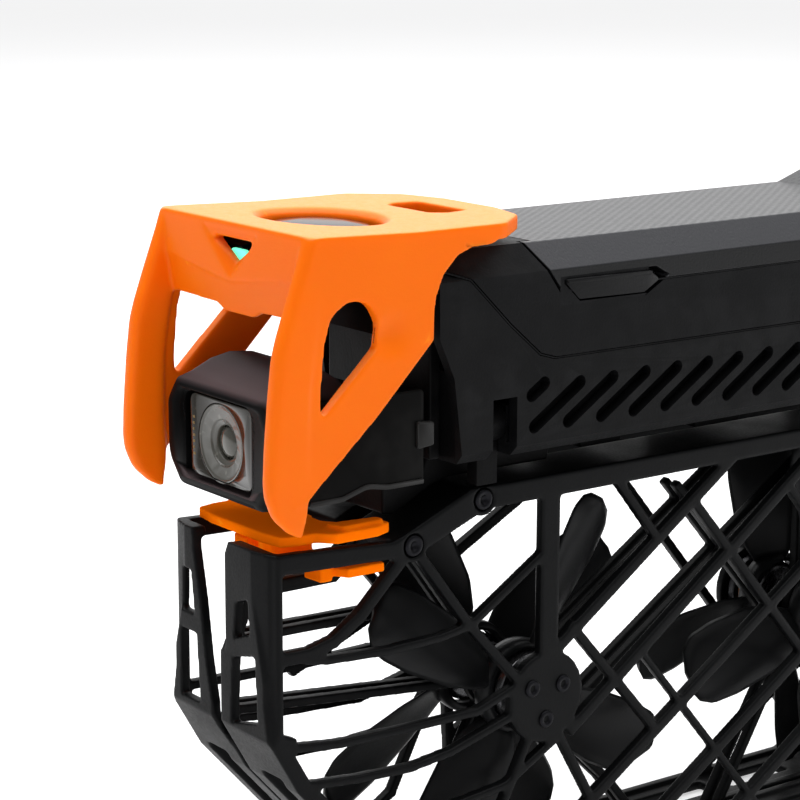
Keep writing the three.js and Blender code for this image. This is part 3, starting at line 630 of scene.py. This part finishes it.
def guard_mesh():
    """The clip-on guard as overlapping solids: plate, visor, and a tusk and a cheek on each side."""
    bm = bmesh.new()
    add_guard_plate(bm)
    add_guard_visor(bm)
    teardrop = rounded(TEARDROP, [0.5, 1.6, 3, 3, 3, 3, 4, 1])
    for sign in SIDES.values():
        add_loft(bm, tusk_sections(sign))
        add_prism(bm, *side_prism(sign, 16.9, 18.8, CHEEK_FRONT + CHEEK_BACK, [teardrop]))
    return mesh_of("guard", bm)


def dent(mesh, centre, radius, depth):
    """Presses a soft thumb-shaped hollow into both cheeks beside the teardrop hole."""
    for vertex in mesh.vertices:
        x, y, z = vertex.co * 1000
        y += SHIFT
        reach = math.hypot((y - centre[0]) / radius[0], (z - centre[1]) / radius[1])
        outer_face = abs(x) > 17.9
        if reach < 1 and outer_face:
            fall = (1 - reach**2) ** 2
            vertex.co.x -= math.copysign(depth * fall / 1000, x)


def settle(mesh):
    """Lets the top plate fall a little behind its front edge."""
    plate_bottom, fall = 0.1015, 0.0006  # metres
    start, length = 3, 17  # mm
    for vertex in mesh.vertices:
        y = vertex.co.y * 1000 + SHIFT
        if vertex.co.z > plate_bottom:
            vertex.co.z -= fall * min(max((y - start) / length, 0), 1)


def build_guard():
    """The orange guard, with its hollows pressed in after its solids are fused."""
    mesh = fused(guard_mesh(), 0.28, 9, 0.45)
    dent(mesh, (15.6, 90.4), (3.8, 3.2), 0.9)
    settle(mesh)
    piece("guard_shell", mesh, "gimbal_guard", ORANGE, ["gimbal_guard"])


def clip_mesh():
    """The wing clip: a bridge with two raised ribs over the cages, and a foot with tabs below them."""
    bm = bmesh.new()
    half_bridge = [(6, 3.2), (10.2, 3.8), (10.9, 6.6), (10.9, 9.0), (13.0, 11.0), (13.1, 17.8), (11.9, 20.6),
                   (10.2, 20.2), (9.2, 15.8), (6, 13.4)]
    add_prism(bm, "z", 61.75, 63.2, rounded(symmetric(half_bridge), 0.7))
    rib = [(9.4, 11.2), (12.4, 12.6), (12.2, 19.4), (10.6, 19.2)]
    tab = [(7, 9.6), (10.8, 9.9), (10.8, 11.9), (7, 11.9)]
    for sign in SIDES.values():
        add_prism(bm, "z", 62.8, 63.9, rounded([(sign * x, y) for x, y in rib], 0.6))
        add_prism(bm, "z", 56.0, 58.4, rounded([(sign * x, y) for x, y in tab], 0.3))
    half_foot = [(2.0, 8.0), (10.4, 12.2), (12.4, 13.4), (12.4, 19.4), (9.4, 19.6), (7.6, 15.8), (2.0, 15.0)]
    add_prism(bm, "z", 56.5, 57.8, rounded(symmetric(half_foot), 0.5))
    add_prism(bm, "z", 56.6, 62.8, rounded(symmetric([(2.0, 8.0), (2.0, 14.8)]), 0.6))
    return mesh_of("clip", bm)


def build_clip():
    mesh = fused(clip_mesh(), 0.22, 5, 0.5)
    piece("clip_shell", mesh, "body", CLIP_ORANGE, ["wing_clip"])


# ---------------------------------------------------------------- camera, arm, latches, seams
LENS_AT = (0.2, 74.5)


def hood_ring(y, half, low, high):
    """A rounded section of the camera's hood, narrower at its foot, a little wider away from the arm."""
    right = [(half - 3, low), (half, low + 3.6), (half + 0.1, high - 3.2), (half - 2.2, high)]
    left = [(-x - 0.35, z) for x, z in reversed(right)]
    return [(x, y, z) for x, z in rounded(right + left, [1.8, 4, 3, 2.2, 2.2, 3, 4, 1.8], 6)]


def hood_mesh():
    """The camera's one-piece hood: rounded front frame with a window pocket, rising towards the rear."""
    # y, half width, and the heights of the foot and the top.
    table = [(0.75, 12.1, 67.7, 81.1), (0.95, 12.6, 67.2, 81.6), (1.5, 13.0, 66.9, 82.0),
             (3.6, 13.2, 66.7, 82.5), (4.6, 13.1, 66.7, 83.0), (6.4, 12.7, 66.8, 84.0), (9, 12.2, 67, 84.7),
             (12, 11.6, 67.8, 84.5), (14.6, 10.9, 69.4, 83), (16.6, 9.8, 71.4, 80.6), (17.2, 8.4, 72.8, 79)]
    bm = bmesh.new()
    rings = [[bm.verts.new(place(*p)) for p in hood_ring(*row)] for row in table]
    pocket = rounded([(-8.2, 68.3), (8.2, 68.3), (8.2, 80.7), (-8.2, 80.7)], 1.9, 6)
    lips = [[bm.verts.new(place(x, y, z)) for x, z in pocket] for y in (0.75, 4.4)]
    for a, b in [*zip(rings, rings[1:]), lips]:
        add_wall(bm, a, b)
    add_cap(bm, [rings[0], lips[0]])
    bm.faces.new(lips[1])
    bm.faces.new(rings[-1])
    return mesh_of("hood", bm)


def build_camera_head():
    """The hood, its window with a round hole, the stepped rings in the hole, the lens and the marks."""
    hood = applied(hood_mesh(), ("WEIGHTED_NORMAL", {"keep_sharp": False}))
    piece("camera_hood", hood, "camera", CAMERA_GREY, ["camera_housing", "camera_bezel"])
    pane = rounded([(-7.2, 69.2), (7.9, 69.2), (7.9, 80.4), (-7.2, 80.4)], 1.5, 6)
    glass = prism_mesh("pane", ("y", 0.95, 2.4, pane, [ellipse(*LENS_AT, 72, 5.5)]))
    piece("camera_window", bevelled(glass, 0.06, 2), "camera", WINDOW, ["lens_window"])
    rings = [(5.4, 1.0), (5.1, 1.02), (4.95, 1.2), (4.7, 1.22), (3.4, 1.5), (3.25, 1.5), (3.1, 1.8),
             (2.4, 1.95), (2.3, 2.6), (2.3, 4.2), (5.4, 4.2)]
    barrel = lathe_mesh("rings", "y", LENS_AT, rings, 72)
    piece("lens_rings", bevelled(barrel, 0.08, 2), "camera", LENS_RING, ["lens_barrel"])
    dome = [(0, 1.75), (0.8, 1.8), (1.5, 1.95), (2.0, 2.2), (2.2, 2.5), (2.2, 4.2), (0, 4.2)]
    lens = lathe_mesh("dome", "y", LENS_AT, dome, 48)
    piece("lens_dome", lens, "camera", LENS, ["lens_element"])
    marks = []
    left, height = -6.6, 0.34
    for k in range(7):
        z = 71.8 + 0.85 * k
        right = left + (0.5, 0.32, 0.42)[k % 3]
        marks.append(("y", 0.9, 1.0, [(left, z), (right, z), (right, z + height), (left, z + height)]))
    piece("window_marks", prism_mesh("marks", *marks), "camera", MARK, smooth=False)


def build_mode_key():
    """The mode key's polished dome, seen through the hole in the guard."""
    # Two radii and a height.
    table = [(7.9, 4.9, 99.95), (7.9, 4.9, 101.93), (9.0, 6.8, 101.97), (9.1, 6.9, 102.15),
             (8.8, 6.6, 102.4), (7.6, 5.6, 102.75), (4.5, 3.4, 102.95)]
    rings = [[place(x, y, z) for x, y in ellipse(0, MODE_Y, 64, ru, rv)] for ru, rv, z in table]
    piece("mode_key_dome", loft_mesh("key", rings), "mode_button", GLOSS, ["mode_button"])


def build_led():
    """The status light's flat window on the nose, in the point of the guard's notch."""
    outline = rounded([(-2.9, 98.3), (0.9, 98.3), (0.9, 100.3), (-2.9, 100.3)], 0.7)
    mesh = bevelled(prism_mesh("led", ("y", 4.95, 5.55, outline)), 0.12, 2)
    piece("led_window", mesh, "body", LED, ["status_led"])


def build_arm():
    """The camera's arm: a side panel with a yoke behind the head, a rear tab and a lip along the foot."""
    edge = [(5, 68), (10.4, 68), (14.5, 69.2), (17.8, 68.6), (24, 68.6), (24, 81.7), (7, 81.7), (5, 80)]
    panel = rounded(edge, [1, 4, 4, 4, 1, 0.8, 1.5, 1.5])
    yoke = rounded([(-7, 71), (-4, 69), (14.2, 69), (14.2, 80.6), (-4, 80.6), (-7, 78)], 1)
    arm = bevelled(prism_mesh("arm", ("x", 13.65, 15.0, panel), ("y", 20, 21.8, yoke)), 0.35, 3)
    piece("arm_panel", arm, "gimbal_arm", CAMERA_SIDE, ["gimbal_arm"])
    outline = rounded([(22.6, 73.6), (25.3, 73.9), (25.3, 77.1), (22.6, 77.4)], 0.4)
    tab = bevelled(prism_mesh("tab", ("x", 14.4, 15.5, outline)), 0.2, 2)
    piece("arm_tab", tab, "gimbal_arm", STRIP)
    foot = [(5.4, 68.1), (10.4, 68.1), (14.5, 69.3), (17.8, 68.7), (23.8, 68.7)]
    outline = rounded(foot + [(y, z + 0.7) for y, z in reversed(foot)], [0.2, 4, 4, 4, 0.2] * 2)
    lip = bevelled(prism_mesh("lip", ("x", 14.8, 15.25, outline)), 0.15, 2)
    piece("arm_lip", lip, "gimbal_arm", STRIP)


# Outline of a latch's bed, as (y, z) pairs, open at the rear.
LATCH_BED = [(46.2, 94.9), (46.2, 90.8), (61.7, 90.7), (62.2, 91.1), (49.8, 91.2), (46.9, 93.9),
             (46.9, 94.4), (62.4, 94.4), (62.4, 94.9)]


def build_latches():
    """A key with a proud lip on top, in a bed that fills the recess but for a pocket at the rear."""
    edge = [(46.9, 94.3), (49.7, 91.5), (61.7, 91.3), (64.6, 92.9), (62.6, 94.3)]
    outline = rounded(edge, [0.4, 0.8, 0.8, 0.4, 0.4])
    lip = rounded([(47.0, 94.5), (47.5, 93.95), (62.6, 93.7), (62.9, 94.3)], 0.2)
    for side, sign in SIDES.items():
        solids = (side_prism(sign, 14.9, 16.52, outline), side_prism(sign, 15.2, 16.95, lip))
        mesh = bevelled(prism_mesh("latch", *solids), 0.14, 3)
        piece(f"latch_key_{side}", mesh, f"latch_{side}", LATCH, [f"latch_{side}"])
        bed = prism_mesh("bed", side_prism(sign, 14.95, 16.49, LATCH_BED))
        piece(f"latch_bed_{side}", bed, "battery", UPPER, smooth=False)


def build_seams():
    """Lips of the shells that close the bottoms of the long seams."""
    line = [(25.5, 97.5), (30.5, 95.9), (37.4, 89.1), (42.8, 84.4), (45.5, 83.58), (143.6, 83.38)]
    parting = line + [(y + 0.1, z + 0.14) for y, z in reversed(line)]
    joint = [(47.4, 92.74), (143.6, 92.74), (143.6, 92.96), (47.2, 92.96)]
    for side, sign in SIDES.items():
        mesh = prism_mesh("seam", *(side_prism(sign, 15.0, 16.42, lip) for lip in (parting, joint)))
        piece(f"seam_lip_{side}", mesh, "body", UPPER, smooth=False)


def build_vent_screens():
    """A dark screen behind the vents of each side wall, with a row of small holes along its top."""
    sheet = rounded([(41.3, 72.9), (119, 72.9), (119, 81.8), (41.3, 81.8)], 0.8)
    holes = [ellipse(44.2 + 6.1 * k, 81.2, 12, 0.4) for k in range(12)]
    for side, sign in SIDES.items():
        mesh = prism_mesh("screen", side_prism(sign, 14.25, 14.6, sheet, holes))
        piece(f"vent_screen_{side}", mesh, "body", NOSE, smooth=False)


# ---------------------------------------------------------------- cages, motors, propellers
def cage_mesh(side):
    """One cage as one skin: the rim is carried across its gaps to the outer grille and the lining."""
    bm = bmesh.new()
    bm.from_mesh(NODES[f"cage_rim_{side}"].data)
    reach = [abs(v.co.x) for v in bm.verts]
    outer, inner = max(reach), min(reach)
    carry, near = 0.0006, 1e-5  # metres: how far the rim's ends go on, and how near an end counts as it
    for vertex in bm.verts:
        x = abs(vertex.co.x)
        outwards = (x > outer - near) - (x < inner + near)
        vertex.co.x += carry * outwards * math.copysign(1, vertex.co.x)
    for part in ("grille", "inner"):
        bm.from_mesh(NODES[f"cage_{part}_{side}"].data)
    mesh = bpy.data.meshes.new("cage")
    bm.to_mesh(mesh)
    bm.free()
    return fused(mesh, 0.27, 4, 0.35)


def build_cages():
    for side in SIDES:
        names = [f"cage_{part}_{side}" for part in ("grille", "rim", "inner")]
        piece(f"cage_shell_{side}", cage_mesh(side), f"wing_{side}", CAGE, names)


# Along a blade, as (radius in mm, value) pairs: chord and leading edge in mm, tilt in radians.
CHORD = [(5.5, 4.6), (9, 8.4), (14, 11.2), (22, 12.2), (27, 11.4), (29.4, 8.2), (30.2, 3.4)]
LEAD = [(5.5, -2.2), (9, -4.4), (14, -6.0), (22, -6.6), (27, -6.2), (29.4, -4.4), (30.2, -1.4)]
TILT = [(5.5, -0.62), (14, -0.5), (22, -0.38), (30.2, -0.3)]


def blade_ring(r, angle):
    """The airfoil of a blade at radius r, in mm about the hub, as (x, y, z)."""
    width = between(CHORD, r)
    start = between(LEAD, r)
    turn = between(TILT, r)
    points = 14
    ring = []
    for i in range(points):
        t = i / points * 2 * math.pi
        along = 0.5 - 0.5 * math.cos(t)
        bulge = 0.55 if t < math.pi else 0.4
        thick = bulge * math.sin(t) + 0.55 * math.sin(math.pi * along)
        u = start + width * along
        x = thick * math.cos(turn) - u * math.sin(turn)
        v = u * math.cos(turn) + thick * math.sin(turn)
        y = r * math.cos(angle) - v * math.sin(angle)
        z = r * math.sin(angle) + v * math.cos(angle)
        ring.append((x, y, z))
    return ring


def propeller_mesh(sign, y, first):
    """Four blades and their hub. first is the angle of the first blade."""
    root, tip, count = 5.5, 30.2, 22
    radii = [root + (tip - root) * (k / (count - 1)) ** 0.8 for k in range(count)]
    out = 5.4  # the blades' distance from the middle plane
    bm = bmesh.new()
    for k in range(4):
        angle = first + k * math.pi / 2
        rings = [[place(sign * (out + px), y + py, HUB_Z + pz) for px, py, pz in blade_ring(r, angle)]
                 for r in radii]
        add_loft(bm, rings)
    hub = [(5.8, 3.9), (6.9, 4.3), (7.1, 5.4), (6.9, 7.0), (5.8, 7.3)]
    add_lathe(bm, "x", (y, HUB_Z), outward(sign, hub), 48)
    return mesh_of("propeller", bm)


def build_rotors():
    """For each motor: the propeller, the turning bell, and a copper winding that stays with the cage."""
    bell = [(0, 4.2), (1.1, 4.2), (1.2, 4.5), (4.4, 4.5), (5.2, 5.0), (5.4, 5.8), (5.4, 8.4), (5.0, 8.7),
            (0, 8.7)]
    winding = [(3.0, 8.8), (5.0, 8.8), (5.0, 9.05), (3.0, 9.05)]
    for side, sign in SIDES.items():
        first = {"front": math.radians(-30 * sign), "rear": math.radians(12)}
        for end, y in HUB_Y.items():
            spot = f"{end}_{side}"
            blades = propeller_mesh(sign, y, first[end])
            piece(f"blades_{spot}", blades, f"rotor_{spot}", BLADE, [f"propeller_{spot}"])
            cup = lathe_mesh("bell", "x", (y, HUB_Z), outward(sign, bell), 48)
            piece(f"bell_{spot}", cup, f"rotor_{spot}", BELL, [f"motor_bell_{spot}"])
            coil = lathe_mesh("coil", "x", (y, HUB_Z), outward(sign, winding), 36)
            piece(f"winding_{spot}", coil, f"wing_{side}", COPPER)


def build_screws():
    """Screw heads on the cages: one on each CAD screw, and a ring of three behind each motor."""
    cage_head = [(0, 12.2), (0.62, 12.2), (0.7, 12.62), (1.35, 12.66), (1.5, 12.5), (1.5, 11.95),
                 (0, 11.95)]
    motor_head = [(0, 12.5), (0.5, 12.5), (0.6, 12.9), (1.15, 12.95), (1.3, 12.75), (1.3, 12.5),
                  (0, 12.45)]
    ring_radius = 3.3
    for side, sign in SIDES.items():
        for i in (1, 2):
            name = f"cage_screw_{i}_{side}"
            head = lathe_mesh("screw", "x", middle(name), outward(sign, cage_head), 24)
            piece(f"screw_{i}_{side}", head, f"wing_{side}", SCREW, [name])
        for end, y in HUB_Y.items():
            for k in range(3):
                angle = math.radians(27 + 120 * k)
                at = (y + ring_radius * math.cos(angle), HUB_Z + ring_radius * math.sin(angle))
                head = lathe_mesh("screw", "x", at, outward(sign, motor_head), 24)
                piece(f"motor_screw_{end}_{k + 1}_{side}", head, f"wing_{side}", SCREW)


# ---------------------------------------------------------------- stage
def area_light(name, size, energy, location, target):
    """A white rectangle of light at a location, facing a target."""
    light = bpy.data.lights.new(name, "AREA")
    light.shape = "RECTANGLE"
    light.size, light.size_y = size
    light.energy = energy
    obj = bpy.data.objects.new(name, light)
    bpy.context.scene.collection.objects.link(obj)
    obj.location = location
    obj.rotation_euler = (Vector(target) - Vector(location)).to_track_quat("-Z", "Y").to_euler()


def build_stage():
    """A large white floor, a plain white sky, a softbox overhead and a big panel behind the drone."""
    n = Nodes("floor_white")
    n.link(n.mix(n.noise(3.0), (0.58, 0.58, 0.585), (0.62, 0.62, 0.625)), "Base Color")
    set_shader(n, Roughness=0.9, Emission_Strength=0.5)
    set_shader(n, Emission_Color=(1.0, 1.0, 1.0, 1.0), Specular_IOR_Level=0.0)
    bm = bmesh.new()
    bmesh.ops.create_grid(bm, x_segments=1, y_segments=1, size=6.0)
    floor = bpy.data.objects.new("floor", mesh_of("floor", bm))
    floor.data.materials.append(n.material)
    bpy.context.scene.collection.objects.link(floor)
    world = bpy.data.worlds.new("studio")
    bpy.context.scene.world = world
    world.use_nodes = True
    sky = world.node_tree.nodes["Background"]
    sky.inputs["Color"].default_value = (1.0, 1.0, 1.0, 1.0)
    sky.inputs["Strength"].default_value = 0.42
    area_light("softbox", (1.4, 1.4), 20, (-0.2, 0.2, 0.9), (-0.2, 0.2, 0))
    area_light("rear_panel", (4.5, 2.0), 30, (-3.4, 2.5, 1.3), (0, 0, 0.1))


def build_camera():
    """A long lens, low in front of the drone's right corner, looking back at it."""
    azimuth, elevation, roll = math.radians(53.5), math.radians(12.17), math.radians(0.14)
    level = math.cos(elevation)
    back = Vector((math.sin(azimuth) * level, -math.cos(azimuth) * level, math.sin(elevation)))
    across = Vector((math.cos(azimuth), math.sin(azimuth), 0))
    up = back.cross(across)
    right = across * math.cos(roll) + up * math.sin(roll)
    top = up * math.cos(roll) - across * math.sin(roll)
    data = bpy.data.cameras.new("camera")
    data.lens = 111.15
    data.sensor_width = 36
    camera = bpy.data.objects.new("camera", data)
    turned = Matrix((right, top, back)).transposed().to_4x4()
    camera.matrix_world = Matrix.Translation((0.273, -0.24103, 0.14989)) @ turned
    bpy.context.scene.collection.objects.link(camera)
    bpy.context.scene.camera = camera
    bpy.context.scene.view_settings.view_transform = "Standard"


finish_kept()
build_guard()
build_clip()
build_camera_head()
build_mode_key()
build_led()
build_arm()
build_latches()
build_seams()
build_vent_screens()
build_cages()
build_rotors()
build_screws()
build_stage()
build_camera()
